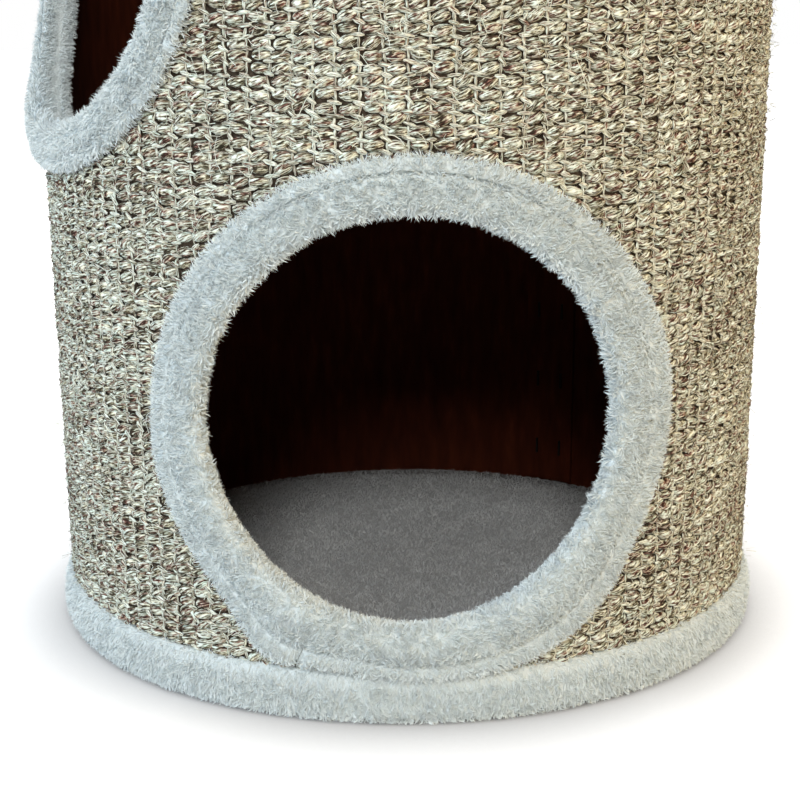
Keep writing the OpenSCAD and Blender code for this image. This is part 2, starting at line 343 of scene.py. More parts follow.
fine_strands = strands(28.0, 150.0)
broad_strands = strands(14.0, 70.0)
# Painted shade: thin dark lines in the yarn's map where the gaps between strands fall into shadow.
strand_gap_shade = (strands(22.0, 190.0) * -1.0 - 0.05).math("MAXIMUM", 0.0)
maroon_strands = strands(8.0, 60.0)
maroon_depth = maroon_strands.math("MAXIMUM", 0.0)
spun_tone = (
    map_up + 0.03 + fine_strands * 3.1 + broad_strands * 0.9 - strand_gap_shade * 6.0 - maroon_depth * 1.3
)
yarn_tone = map_across + spun * (spun_tone - map_across)
pale_yarn = sisal.ramp(yarn_tone, [
    (0.0, (0.02, 0.0145, 0.007)), (0.15, (0.055, 0.042, 0.024)), (0.3, (0.14, 0.116, 0.074)),
    (0.45, (0.28, 0.262, 0.194)), (0.6, (0.44, 0.437, 0.355)), (0.78, (0.64, 0.655, 0.57)),
    (1.0, (0.81, 0.84, 0.775)),
])
maroon_yarn = sisal.ramp(yarn_tone, [
    (0.0, (0.027, 0.011, 0.006)), (0.15, (0.085, 0.032, 0.024)), (0.3, (0.205, 0.092, 0.072)),
    (0.45, (0.345, 0.242, 0.195)), (0.6, (0.475, 0.427, 0.35)), (0.78, (0.66, 0.645, 0.56)),
    (1.0, (0.82, 0.83, 0.765)),
])
maroon_share = maroon_strands * 9.0 + 0.1
yarn_colour = sisal.mix(maroon_share, pale_yarn, maroon_yarn)
# Painted shade: each loose fibre darkens towards both ends, where it dives into the weave.
fibre_end_shade = (0.45, 0.42, 0.4)
tucked_end_shade = sisal.ramp(
    (map_up * (1 - spun)) * (1 / FIBRE_STRIP) + spun * 0.5,
    [(0.0, fibre_end_shade), (0.22, (1.0, 1.0, 1.0)), (0.78, (1.0, 1.0, 1.0)), (1.0, fibre_end_shade)],
)
pale_tint = sisal.ramp(strands(9.0, 60.0) + 0.5, [
    (0.36, (1.06, 1.0, 0.86)), (0.5, (1.0, 1.0, 0.98)), (0.64, (0.92, 1.02, 0.98)),
])
sisal.colour(sisal.times(sisal.times(yarn_colour, pale_tint), tucked_end_shade))


def spread(mean, deviation, *shape):
    """Normal draws, one for each cell of the weave and each entry of the further shape."""
    return sisal_draw.normal(mean, deviation, (cells, *shape))


def wide(values, axes):
    """One value for each cell, with so many axes of length 1 after it."""
    return np.asarray(values).reshape(-1, *[1] * axes)


MAP_PER_M = 11.0
MAP_PER_TURN = 0.0155


def yarn_rolls(centre, size, slant, steps, twist, tones):
    """Rolls of spun yarn: open domes with steps points along and round. A roll shows a window of the
    yarn's map. The window lies at random across the map, its height there is the roll's tone, and it
    is sheared so that the strands turn by the twist. Returns points, quads and map spots by cell."""
    along = np.sin(np.linspace(-1.45, 1.45, steps[0])).reshape(1, -1, 1)
    angle = np.linspace(-1.6, 1.6, steps[1]).reshape(1, 1, -1)
    points = yarn_points(
        [wide(part, 2) for part in centre], [wide(part, 2) for part in size],
        wide(slant, 2), along, angle,
    )
    middle = sisal_draw.uniform(0.08, 0.92, (cells, 1, 1))
    spots = np.stack(np.broadcast_arrays(
        middle + MAP_PER_M * wide(size[0], 2) * along,
        wide(tones, 2).clip(0.3, 0.92) + MAP_PER_TURN * (angle - twist * along),
    ), axis=-1)
    return points.reshape(cells, -1, 3), grid_faces(*steps), spots.reshape(cells, -1, 2)


def loose_strands(centre, size, slant, fibres, steps, width, twist, dark_and_gap_shade_share):
    """Single fibres that lie over the front of the rolls: strips of steps points. Some are near-black,
    partly as dark maroon fibres and partly as painted shade of the gaps between strands. They shine
    through their own strip of the map, tone across. Returns the same as yarn_rolls."""
    along = np.linspace(-1, 1, steps).reshape(1, 1, steps, 1)
    angle = np.linspace(-0.9, 0.9, fibres).reshape(1, fibres, 1, 1) + spread(0, 0.3, fibres, 1, 1)
    angle = angle + (twist / 2 + spread(0, 0.25, fibres, 1, 1)) * along
    side = np.array([-0.5, 0.5]) * width * spread(1, 0.2, fibres, 1, 1) * (1 - 0.3 * along ** 2)
    lift = spread(1.06, 0.05, fibres, 1, 1)
    points = yarn_points(
        [wide(part, 3) for part in centre],
        [wide(size[0], 3), wide(size[1], 3) * lift, wide(size[2], 3) * lift],
        wide(slant, 3), along, angle, side, spread(0, 0.35, fibres, 1, 1),
    )
    quads = np.arange(fibres)[:, None, None] * steps * 2 + grid_faces(steps, 2)
    # Painted shade in part: the near-black fibres also draw the shadowed gaps between strands.
    dark = sisal_draw.random((cells, fibres, 1, 1)) < dark_and_gap_shade_share
    tones = np.where(dark, spread(0.16, 0.07, fibres, 1, 1), spread(0.72, 0.13, fibres, 1, 1))
    spots = np.stack(np.broadcast_arrays(
        tones.clip(0.02, 0.94) + np.array([0.0, 0.02]), FIBRE_STRIP * (0.05 + 0.45 * (along + 1)),
    ), axis=-1)
    return points.reshape(cells, -1, 3), quads.reshape(-1, 4), spots.reshape(cells, -1, 2)


nub_centre = [
    cell_turn + spread(0, 0.35 * MM) / sisal_r, cell_height + spread(0, 0.25 * MM),
    np.full(cells, BACKING_R),
]
nub_size = [spread(4.6 * MM, 0.3 * MM), spread(2.65 * MM, 0.2 * MM), spread(3.2 * MM, 0.3 * MM)]
nub_slant = np.radians(spread(4, 8))
between = cell_turn + column_turn / 2
float_centre = [
    between + spread(0, 0.5 * MM) / sisal_r, cell_height + ROW_H / 2 + spread(0, 0.35 * MM),
    np.full(cells, BACKING_R + 1.3 * MM),
]
float_size = [spread(3.2 * MM, 0.5 * MM), spread(1.05 * MM, 0.12 * MM), spread(1.2 * MM, 0.25 * MM)]
warp_centre = [
    between + spread(0, 0.25 * MM) / sisal_r, cell_height, np.full(cells, BACKING_R + 0.8 * MM),
]
warp_size = [spread(2.8 * MM, 0.15 * MM), spread(0.8 * MM, 0.1 * MM), spread(1.1 * MM, 0.15 * MM)]
weave_parts = [
    yarn_rolls(
        nub_centre, nub_size, nub_slant, steps=(6, 4), twist=0.6, tones=cell_tone + spread(0, 0.08),
    ),
    loose_strands(
        nub_centre, nub_size, nub_slant, fibres=3, steps=4, width=0.36 * MM, twist=0.7, dark_and_gap_shade_share=0.5,
    ),
    yarn_rolls(
        float_centre, float_size, np.radians(spread(-14, 14)), steps=(4, 3), twist=0.3,
        tones=spread(0.69, 0.1),
    ),
    yarn_rolls(
        warp_centre, warp_size, np.radians(spread(90, 7)), steps=(3, 3), twist=0.2,
        tones=spread(0.66, 0.08),
    ),
]
sector_of = cell_column * SECTORS // columns
for sector in range(SECTORS):
    own = np.flatnonzero(sector_of == sector)
    points, faces, spots = [], [], []
    start = 0
    for part_points, part_quads, part_spots in weave_parts:
        each = part_points.shape[1]
        points.append(part_points[own].reshape(-1, 3))
        faces.append((start + np.arange(len(own))[:, None, None] * each + part_quads).reshape(-1, 4))
        spots.append(part_spots[own][:, part_quads].reshape(-1, 2))
        start += len(own) * each
    weave = lay_mesh(
        f"sisal_weave_{sector + 1}", np.concatenate(points), np.concatenate(faces), sisal,
        np.concatenate(spots),
    )
    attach(weave, "barrel")
    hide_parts("sisal_wrap")


# Sisal backing and stray fibres. Behind the nubs the sheet has a latex back, coloured near-black:
# partly its own dark latex and partly painted shade for the deep gaps between the nubs. Here and there
# a fibre has worked loose and lies over the weave.

backing = Finish("sisal_backing", roughness=0.95, specular=0.1)
backing_speckle = backing.noise(backing.place(), scale=500.0, detail=4.0)
# Painted shade in part: the backing's near-black colour darkens the gaps between the nubs.
backing.colour(backing.ramp(
    backing_speckle,
    [(0.35, (0.02, 0.014, 0.009)), (0.6, (0.055, 0.04, 0.028)), (0.8, (0.12, 0.09, 0.065))],
))
BACKING_STEPS = (60, 180)
BACKING_TUCK = 14 * MM
backing_height, backing_turn = np.meshgrid(
    np.linspace(band_top - SHEET_TUCK, rim_edge + SHEET_TUCK, BACKING_STEPS[0]),
    np.linspace(-math.pi, math.pi, BACKING_STEPS[1]), indexing="ij",
)
backing_points = on_barrel(backing_turn, backing_height, BACKING_R).reshape(-1, 3)
backing_faces = grid_faces(*BACKING_STEPS)[:, ::-1]
backing_clear = door_distance(backing_turn, backing_height).ravel() > trim_r - BACKING_TUCK
backing_faces = backing_faces[backing_clear[backing_faces].all(1)]
backing_spots = np.column_stack([
    backing_turn.ravel() / (2 * math.pi) + 0.5, backing_height.ravel() / rim_edge,
])
sisal_back = lay_mesh(
    "sisal_backing", backing_points, backing_faces, backing, backing_spots[backing_faces].reshape(-1, 2),
)
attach(sisal_back, "barrel")
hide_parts("sisal_wrap")

STRAYS = 9000
STRAY_STEPS = 4
STRAY_CLEAR = 6 * MM
STRAY_EDGE = 4 * MM
stray_draw = np.random.default_rng(21)
stray_turn = stray_draw.uniform(-math.pi, math.pi, STRAYS)
stray_height = stray_draw.uniform(band_top + STRAY_EDGE, rim_edge - STRAY_EDGE, STRAYS)
stray_open = door_distance(stray_turn, stray_height) > trim_r + STRAY_CLEAR
stray_turn, stray_height = (wide(values[stray_open], 2) for values in (stray_turn, stray_height))
strays = len(stray_turn)
stray_along = np.linspace(-1, 1, STRAY_STEPS).reshape(1, -1, 1)
stray_half = stray_draw.gamma(1.8, 1.6 * MM, (strays, 1, 1)) + 1.2 * MM
stray_long = stray_half * stray_along
stray_way = stray_draw.uniform(0, math.pi, (strays, 1, 1))
stray_way = stray_way + stray_draw.normal(0, 0.5, (strays, 1, 1)) * stray_along
stray_side = np.array([-0.5, 0.5]) * stray_draw.uniform(0.18, 0.32, (strays, 1, 1)) * MM
stray_lift = 0.3 * MM + stray_draw.gamma(1.2, 0.9 * MM, (strays, 1, 1)) * (0.3 + stray_along ** 2)
stray_radius = sisal_r + stray_lift
stray_points = on_barrel(
    stray_turn + (stray_long * np.cos(stray_way) - stray_side * np.sin(stray_way)) / stray_radius,
    stray_height + stray_long * np.sin(stray_way) + stray_side * np.cos(stray_way),
    stray_radius,
)
stray_faces = np.arange(strays)[:, None, None] * STRAY_STEPS * 2 + grid_faces(STRAY_STEPS, 2)
stray_tone = stray_draw.normal(0.74, 0.12, (strays, 1, 1)).clip(0.3, 0.95)
stray_spots = np.stack(np.broadcast_arrays(
    stray_tone + np.array([0, 0.02]), FIBRE_STRIP * (0.5 + 0.2 * stray_along),
), axis=-1)
loose_fibres = lay_mesh(
    "sisal_loose_fibres", stray_points.reshape(-1, 3), stray_faces.reshape(-1, 4), sisal,
    stray_spots.reshape(-1, 2)[stray_faces.ravel()],
)
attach(loose_fibres, "barrel")


# Doorway trims. A strip of grey plush is wrapped over the cut edge of each doorway, sewn down a
# little inside its outer rim, and closed by a butt seam at its lower left.

def smooth_line(knots, steps):
    """A smooth cubic curve through the knots, with steps points from each knot to the next. Its slope
    at a knot is half the step between the two neighbours of that knot."""
    knots = np.asarray(knots, float)
    ends = np.vstack([2 * knots[:1] - knots[1:2], knots, 2 * knots[-1:] - knots[-2:-1]])
    p0, p1, p2, p3 = (ends[k:k + len(knots) - 1, None] for k in range(4))
    t = np.linspace(0, 1, steps, endpoint=False)[None, :, None]
    curve = 0.5 * (
        2 * p1 + (p2 - p0) * t + (2 * p0 - 5 * p1 + 4 * p2 - p3) * t ** 2
        + (3 * p1 - p0 - 3 * p2 + p3) * t ** 3
    )
    return np.vstack([curve.reshape(-1, knots.shape[1]), knots[-1:]])


def unit(vectors):
    """Vectors brought to length 1."""
    return vectors / np.maximum(np.linalg.norm(vectors, axis=-1, keepdims=True), 1e-12)


def plush_skin(grid, tall=1.0, comb=None, thick=1.0):
    """A skin for pile from a grid of points: its normals, its triangles, and at each point how tall
    and how thick the pile is and which way it is combed."""
    row_step = np.gradient(grid, axis=0)
    column_step = np.gradient(grid, axis=1)
    if np.allclose(grid[0], grid[-1]):
        row_step[0] = row_step[-1] = grid[1] - grid[-2]
    shape = grid.shape[:2]
    quads = grid_faces(*shape)
    return {
        "points": grid.reshape(-1, 3),
        "normals": unit(np.cross(row_step, column_step)).reshape(-1, 3),
        "faces": np.concatenate([quads[:, [0, 1, 2]], quads[:, [0, 2, 3]]]),
        "tall": np.broadcast_to(tall, shape).ravel(),
        "thick": np.broadcast_to(thick, shape).ravel(),
        "comb": np.zeros((grid[..., 0].size, 3)) if comb is None else comb.reshape(-1, 3),
    }


def grow_pile(skin, count, seed, length, width, bent=True):
    """Hairs on a skin: flat blades that taper to a point, thrown evenly over its area. Each leans by
    the comb, by smooth waves that gather tufts, and by chance, with its flat side outwards. A bent
    blade leans more in its outer half. Returns points, triangles and bake map spots: tone across,
    and root to tip upwards."""
    draw = np.random.default_rng(seed)
    faces = skin["faces"]
    a, b, c = (skin["points"][faces[:, k]] for k in range(3))
    weight = np.linalg.norm(np.cross(b - a, c - a), axis=1) * skin["thick"][faces].mean(1)
    chosen = faces[draw.choice(len(faces), count, p=weight / weight.sum())]
    split = draw.random((count, 2))
    split = np.where(split.sum(1, keepdims=True) > 1, 1 - split, split)
    share = np.column_stack([1 - split.sum(1), split])
    root, normal, comb, tall = (
        np.einsum("nk,nk...->n...", share, skin[key][chosen])
        for key in ("points", "normals", "comb", "tall")
    )
    normal = unit(normal)
    tuft = np.stack([
        waves(root, 4 * MM, seed + k) + 0.6 * waves(root, 15 * MM, seed + 5 + k) for k in range(3)
    ], axis=-1)
    sway = 0.22 * tuft + draw.normal(0, 0.38, (count, 3)) + comb
    sway -= normal * (sway * normal).sum(-1, keepdims=True)
    first = unit(0.8 * normal + sway)
    second = unit(0.3 * normal + sway)
    long = (length * tall * draw.uniform(0.7, 1.15, count))[:, None]
    side = unit(np.cross(first, normal + draw.normal(0, 0.35, (count, 3)))) * width / 2
    inner_share = 0.55
    middle = root + inner_share * long * first
    tip = middle + (1 - inner_share) * long * second
    tone = 0.5 + 0.16 * waves(root, 8 * MM, seed + 9) + 0.1 * waves(root, 40 * MM, seed + 10)
    tone = (tone + draw.normal(0, 0.14, count)).clip(0.02, 0.94)
    if bent:
        turned = (np.arange(count) % 2)[:, None]
        points = np.stack([root - side, root + side, middle + (1.6 * turned - 0.8) * side, tip], axis=1)
        triangles = np.where(turned[..., None], [[0, 1, 2], [0, 2, 3]], [[0, 1, 2], [2, 1, 3]])
        offsets = np.array([[0, 0.1], [0.04, 0.1], [0.02, 0.6], [0.03, 1.0]])
    else:
        points = np.stack([root - side, root + side, tip], axis=1)
        triangles = np.full((count, 1, 3), [0, 1, 2])
        offsets = np.array([[0, 0.1], [0.04, 0.1], [0.02, 1.0]])
    spots = offsets + np.stack([tone, np.zeros(count)], -1)[:, None]
    faces = (np.arange(count)[:, None, None] * points.shape[1] + triangles).reshape(-1, 3)
    return points.reshape(-1, 3), faces, spots.reshape(-1, 2)[faces.ravel()]


# Painted shade: the bare skin under the pile takes the dark root colour, for the shadow under the hairs.
SKIN_ROOT_SHADE = np.array([[0.45, 0.01], [0.5, 0.01], [0.475, 0.05]])


def plush_piece(name, finish, skin, pile, ground=None):
    """One mesh of a skin and the pile grown on it. ground is the lowest height that hairs may reach."""
    hair_points, hair_faces, hair_spots = pile
    if ground is not None:
        hair_points[:, 2] = np.maximum(hair_points[:, 2], ground)
    return lay_mesh(
        name, np.concatenate([skin["points"], hair_points]),
        np.concatenate([skin["faces"], hair_faces + len(skin["points"])]), finish,
        np.concatenate([np.tile(SKIN_ROOT_SHADE, (len(skin["faces"]), 1)), hair_spots]),
    )


def plush_finish(name, root, middle, tip):
    """Pile of hairs each of its own tone, darker towards the roots as painted shade for the shadow deep
    in the pile.
    """
    finish = Finish(name, roughness=0.8, specular=0.25)
    spot = finish.signal("UVMap", "UV", {"uv_map": "OFBake"})
    hair_tone, up_hair = (finish.signal("SeparateXYZ", axis, None, [spot]) for axis in ("X", "Y"))
    # Painted shade: the colour darkens from tip to root.
    root_shade_colour = finish.ramp(up_hair, [(0.05, root), (0.4, middle), (1.0, tip)])
    tone_colour = finish.ramp(
        hair_tone,
        [(0.0, (0.78, 0.795, 0.81)), (0.45, (0.95, 0.955, 0.955)), (1.0, (0.985, 0.985, 0.985))],
    )
    finish.colour(finish.times(root_shade_colour, tone_colour))
    return finish


plush = plush_finish("grey_plush", (0.68, 0.722, 0.714), (0.772, 0.818, 0.81), (0.83, 0.876, 0.868))

TRIM_KNOTS = np.array([
    [-1.6, 0.0], [-0.2, 1.5], [-2.4, 3.2], [-5.0, 3.2], [-6.0, 1.2], [-7.0, 3.4], [-9.6, 4.4],
    [-13.5, 4.9], [-18.8, 3.8], [-21.7, 0.4], [-21.0, -5.0], [-20.6, -10.6], [-17.0, -14.2],
]) * MM
TRIM_NAP = [-0.6, -0.6, -0.5, -0.5, -0.2, 0.25, -0.15, -0.45, 0.05, 0.5, 0.7, 0.6, 0.6]
TRIM_STITCH = 6.0 * MM
STITCH_W = 0.9 * MM
TRIM_FOLD = 20.5 * MM
FOLD_W = 3.2 * MM
TRIM_CREASE = 7.5 * MM
CREASE_W = 1.3 * MM
LIP_REACH = 14 * MM
TAIL_REACH = 8 * MM
SEAM_AT = math.radians(245.0)
SEAM_GAP = 0.2 * MM
SEAM_TAPER = 9 * MM
END_DIP = 2.6 * MM
END_DIP_W = 1.9 * MM
TRIM_ROUND = 220
LOWER_PULLS = [
    (228, 22, 1.0, 2.8, 0), (300, 22, 1.0, 2.7, 0.3), (240, 10, 0, 10.0, 1.6), (268, 20, 0, 2.0, 0.4),
    (309, 22, 0, 6.5, 1.3), (195, 18, 0, 3.0, 0.6), (0, 35, -1.4, 5.5, 0.8), (65, 35, 0, 2.0, 0.4),
    (135, 32, -1.4, 0.8, 0),
]
UPPER_PULLS = [
    (350, 35, 0, -5.0, 0), (320, 35, 1.5, 0, 0), (195, 32, 0, -2.0, -4.2), (250, 15, 0, 1.5, 1.6),
    (275, 30, 0, -2.5, 0),
]


def trim_skin(door_turn, door_height, pulls):
    """The section carried round a doorway: rho from its axis and r from the barrel's. A point lies at
    rho along a ray in the doorway's plane, brought forward onto the cylinder of radius r. Each pull is
    a ray and a reach in degrees, and how far the whole strip is pulled off the axis there, how far its
    outer lip flares beyond that, and how far its face is raised, in millimetres."""
    section = smooth_line(TRIM_KNOTS, 4)
    inset, rise = section.T
    gap_turn = SEAM_GAP / trim_r * np.clip(1 + inset / SEAM_TAPER, 0, 1)
    ray = SEAM_AT + math.pi + np.linspace(-1, 1, TRIM_ROUND)[:, None] * (math.pi - gap_turn)
    pulled, flare, raised = np.zeros((3, *ray.shape))
    for at, reach, whole, lip, face in pulls:
        off = (ray - math.radians(at) + math.pi) % (2 * math.pi) - math.pi
        bell = np.exp(-(off / math.radians(reach)) ** 2) * MM
        pulled += whole * bell
        flare += lip * bell
        raised += face * bell
    held = np.clip(1 + rise / TAIL_REACH, 0, 1)
    rho = trim_r + inset + pulled * held + flare * np.clip(1 + inset / LIP_REACH, 0, 1)
    end_off = np.minimum(ray - ray[0], ray[-1] - ray) * trim_r
    end_dip = np.exp(-(end_off / END_DIP_W) ** 2) * np.clip(1.6 + inset / SEAM_TAPER, 0.1, 1)
    radius = sisal_r + rise - END_DIP * end_dip + raised * np.clip(rise / (3 * MM), 0, 1)
    across = rho * np.cos(ray)
    forward = np.sqrt(radius ** 2 - across ** 2)
    height = door_height + rho * np.sin(ray)
    grid = np.stack([
        across * math.cos(door_turn) + forward * math.sin(door_turn),
        across * math.sin(door_turn) - forward * math.cos(door_turn),
        height,
    ], axis=-1)
    inward = unit(np.gradient(grid, axis=1))
    nap = np.interp(np.arange(len(section)), np.arange(0, len(section), 4), TRIM_NAP)
    off_seam = unit(np.gradient(grid, axis=0)) * np.where(ray < SEAM_AT + math.pi, 0.6, -0.6)[..., None]
    comb = inward * nap[None, :, None] + off_seam * end_dip[..., None]
    stitch = np.exp(-((inset + TRIM_STITCH) / STITCH_W) ** 2)
    fold = np.exp(-((inset + TRIM_FOLD) / FOLD_W) ** 2) * (rise > -4 * MM)
    inside = np.clip(-rise / TAIL_REACH, 0, 1)
    crease = np.exp(-((rise + TRIM_CREASE) / CREASE_W) ** 2)
    tufts = waves(trim_r * np.stack([np.cos(ray), np.sin(ray)], axis=-1), 8 * MM, 31)
    shorn = fold * pulled * 0.15 / MM
    tall = 1 - 0.45 * stitch - 0.35 * inside - 0.45 * crease + fold * (0.1 + 0.16 * tufts) - shorn
    tall = tall * (1 - 0.5 * end_dip)
    thick = np.where(np.arange(len(section)) < 3, 0.1, 1.0 - 0.35 * stitch)
    return plush_skin(grid, tall, comb, thick)


for name, (door_turn, door_height), pulls, seed in (
    ("lower_trim_plush", doors[0], LOWER_PULLS, 100), ("upper_trim_plush", doors[1], UPPER_PULLS, 200),
):
    door_skin = trim_skin(door_turn, door_height, pulls)
    trim = plush_piece(
        name, plush, door_skin, grow_pile(door_skin, 84000, seed, length=4.2 * MM, width=0.29 * MM),
    )
    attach(trim, "barrel")
    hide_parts(name.replace("trim_plush", "door_trim"))


# Base band and rim band. Plush strips with folded edges: one runs round the foot and is turned under
# the base board, the other is folded over the top edge of the wall and sewn through it.

def band_skin(knots, steps, comb):
    """A profile of radius and height turned about the barrel's axis, its pile combed one way."""
    profile = smooth_line(knots, 3)
    turn = np.linspace(0, 2 * math.pi, steps)[:, None]
    grid = on_barrel(turn, profile[:, 1][None, :], profile[:, 0][None, :])
    return plush_skin(grid, comb=np.broadcast_to(comb, grid.shape).copy())


BASE_KNOTS = np.array([
    [136, 1.6], [165, 1.4], [186, 1.3], [190.8, 1.6], [193.0, 4.5], [193.6, 11], [193.5, 18.0],
    [192.8, 22.8], [190.4, 25.0], [188.0, 23.5],
]) * MM
BAND_ROUND = 260
EDGE_START = 17 * MM
EDGE_H = 7 * MM
base_skin = band_skin(BASE_KNOTS, BAND_ROUND, comb=(0, 0, -0.6))
base_height = base_skin["points"][:, 2]
upper_edge = np.clip((base_height - EDGE_START) / EDGE_H, 0, 1)
base_skin["thick"] = np.where(base_height < 1.8 * MM, 0.06, 1.0)
base_skin["tall"] = 1 - 0.45 * upper_edge
base_skin["comb"] = base_skin["comb"] * (1 + upper_edge)[:, None]
base_band = plush_piece(
    "base_band_plush", plush, base_skin,
    grow_pile(base_skin, 84000, 300, length=4.4 * MM, width=0.31 * MM), ground=0.2 * MM,
)
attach(base_band, "barrel")
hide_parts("base_band")

rim_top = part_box("rim_band")[1][2]
RIM_KNOTS = np.array([
    [190.0, -35.6], [193.0, -34.6], [193.8, -28], [193.9, -16], [192.6, -7.5], [188.8, -3.6],
    [184.0, -2.8], [179.6, -4.6], [177.0, -11], [176.6, -24], [176.9, -33], [178.8, -37.4],
]) * MM + np.array([0, rim_top])
rim_skin = band_skin(RIM_KNOTS, BAND_ROUND, comb=(0, 0, -0.5))
rim_band = plush_piece(
    "rim_band_plush", plush, rim_skin,
    grow_pile(rim_skin, 80000, 400, length=4.4 * MM, width=0.38 * MM),
)
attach(rim_band, "barrel")
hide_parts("rim_band")


# Floor and lounge linings. Short grey velour glued to the top of each board, and longer plush glued
# round the inside of the lounge wall, under the rim band.

velour = plush_finish("floor_velour", (0.41, 0.412, 0.412), (0.475, 0.478, 0.478), (0.53, 0.534, 0.534))
VELOUR_SINK = 1.6 * MM
VELOUR_TUCK = 4 * MM


def floor_skin(node):
    """A flat disc over a lining: rings of points from a small middle hole out to its edge."""
    low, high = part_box(node)
    edge = (high[0] - low[0]) / 2
    ring = np.concatenate([[0.2 * MM], np.linspace(12 * MM, edge - 0.6 * MM, 14), [edge - 0.3 * MM]])
    level = np.append(np.full(len(ring) - 1, high[2] - VELOUR_SINK), high[2] - VELOUR_TUCK)
    turn = np.linspace(2 * math.pi, 0, 120)[:, None]
    return plush_skin(on_barrel(turn, level[None, :], ring[None, :]))


for node, count, seed in (
    ("lower_floor_lining", 100000, 500), ("middle_floor_lining", 40000, 520),
    ("top_floor_lining", 25000, 540),
):
    skin = floor_skin(node)
    lining = plush_piece(
        node.replace("lining", "velour"), velour, skin,
        grow_pile(skin, count, seed, length=1.9 * MM, width=0.5 * MM, bent=False),
    )
    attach(lining, "barrel")
    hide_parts(node)

lounge_low, lounge_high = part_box("lounge_wall_lining")
LOUNGE_R = 178 * MM
LOUNGE_KNOTS = np.array([
    [LOUNGE_R + 0.8 * MM, lounge_high[2] + 2 * MM], [LOUNGE_R, 560 * MM], [LOUNGE_R, 535 * MM],
    [LOUNGE_R, lounge_low[2]],
])
lounge_skin = band_skin(LOUNGE_KNOTS, 160, comb=(0, 0, -0.4))
lounge_skin["thick"] = np.where(lounge_skin["points"][:, 2] > rim_edge + 8 * MM, 0.05, 1.0)
lounge_lining = plush_piece(
    "lounge_wall_plush", plush, lounge_skin,
    grow_pile(lounge_skin, 34000, 600, length=4.2 * MM, width=0.45 * MM),
)
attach(lounge_lining, "barrel")
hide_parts("lounge_wall_lining")


# Dust cover. A disc of thin black non-woven cloth, bonded in rows of small dots, glued and stapled
# under the base board inside the hem of the base band.

dust_cloth = Finish("dust_cloth", roughness=0.9, specular=0.15)
dust_fibres = dust_cloth.noise(dust_cloth.place((1.0, 0.35, 1.0)), scale=900.0, detail=5.0)
dust_dots = dust_cloth.signal(
    "TexVoronoi", "Distance", {"feature": "F1"},
    {"Vector": dust_cloth.place(), "Scale": 480.0, "Randomness": 0.0},
)
dust_cloth.colour(dust_cloth.ramp(
    dust_fibres * 0.7 + dust_dots * 0.5,
    [(0.35, (0.012, 0.012, 0.013)), (0.6, (0.03, 0.03, 0.032)), (0.9, (0.07, 0.07, 0.075))],
))
dust_cloth.bump(dust_dots + dust_fibres * 0.4, 0.25 * MM)
dust_cloth.wear("dust_cover")


# Lounge cushion. Two round plush panels sewn edge to edge and filled with loose fibre. It lies on the
# lounge floor and lifts out. The cover is blown up as cloth, then gets its pile.

fibre_fill = Finish("fibre_fill", roughness=0.95, specular=0.1)
fill_wisps = fibre_fill.noise(fibre_fill.place(), scale=240.0, detail=6.0)
fibre_fill.colour(fibre_fill.ramp(fill_wisps, [(0.3, (0.6, 0.6, 0.58)), (0.7, (0.88, 0.88, 0.86))]))
fibre_fill.bump(fill_wisps, 2 * MM)
fibre_fill.wear("cushion_filling")

cushion_low, cushion_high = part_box("cushion_cover")
cushion_r = (cushion_high[0] - cushion_low[0]) / 2
CUSHION_SEAM_H = 20 * MM
CUSHION_SKIN = 2.5 * MM
CUSHION_SEAM_W = 2.2 * MM
PUCKER_REACH = 24 * MM
CUSHION_SIDES = 96
CLOTH_NET = 5 * MM
CLOTH_FRAMES = 20
CLOTH_PRESSURE = 4.0


def cushion_profile(steps):
    """Half outline of the cushion: a crown whose height falls off with the fourth power of the radius
    to the seam, and an underside that is flat out to near the edge and then curls up to the seam."""
    edge = cushion_r - CUSHION_SKIN
    seam = cushion_low[2] + CUSHION_SEAM_H
    top = cushion_high[2] - CUSHION_SKIN
    low = cushion_low[2] + 0.8 * MM
    share = np.sin(np.linspace(0.02, math.pi / 2, steps))
    crown = np.column_stack([edge * share, seam + (top - seam) * (1 - share ** 4)])
    under = np.column_stack([edge * share, seam - (seam - low) * np.sqrt(1 - share ** 9)])[::-1]
    return np.vstack([crown, under[1:]])


def swell(points, faces, cap):
    """Blows a closed form up as cloth. It is remeshed to an even net, run for some frames under pressure
    with no gravity, and no point moves further than the cap. Returns points and faces of that form."""
    mesh = bpy.data.meshes.new("cushion_blank")
    mesh.from_pydata(points.tolist(), [], faces.tolist())
    blank = bpy.data.objects.new("cushion_blank", mesh)
    scene = bpy.context.scene
    scene.collection.objects.link(blank)
    remesh = blank.modifiers.new("even_net", "REMESH")
    remesh.mode = "VOXEL"
    remesh.voxel_size = CLOTH_NET
    even = bpy.data.meshes.new_from_object(blank.evaluated_get(bpy.context.evaluated_depsgraph_get()))
    blank.modifiers.clear()
    blank.data = even
    rest = np.empty(len(even.vertices) * 3)
    even.vertices.foreach_get("co", rest)
    rest = rest.reshape(-1, 3)
    moved = rest
    cloth = blank.modifiers.new("cover_cloth", "CLOTH").settings
    cloth.use_pressure = True
    cloth.uniform_pressure_force = CLOTH_PRESSURE
    cloth.effector_weights.gravity = 0.0
    for step in range(1, CLOTH_FRAMES + 1):
        scene.frame_set(step)
    blown = blank.evaluated_get(bpy.context.evaluated_depsgraph_get()).data
    moved = np.empty(rest.size)
    blown.vertices.foreach_get("co", moved)
    moved = moved.reshape(-1, 3)
    scene.frame_set(1)
    shift = moved - rest
    size = np.linalg.norm(shift, axis=1, keepdims=True)
    moved = rest + shift * np.minimum(1, cap / np.maximum(size, 1e-9))
    quads = np.empty(len(even.loops), np.int32)
    even.loops.foreach_get("vertex_index", quads)
    bpy.data.objects.remove(blank)
    return moved, quads.reshape(-1, 4)


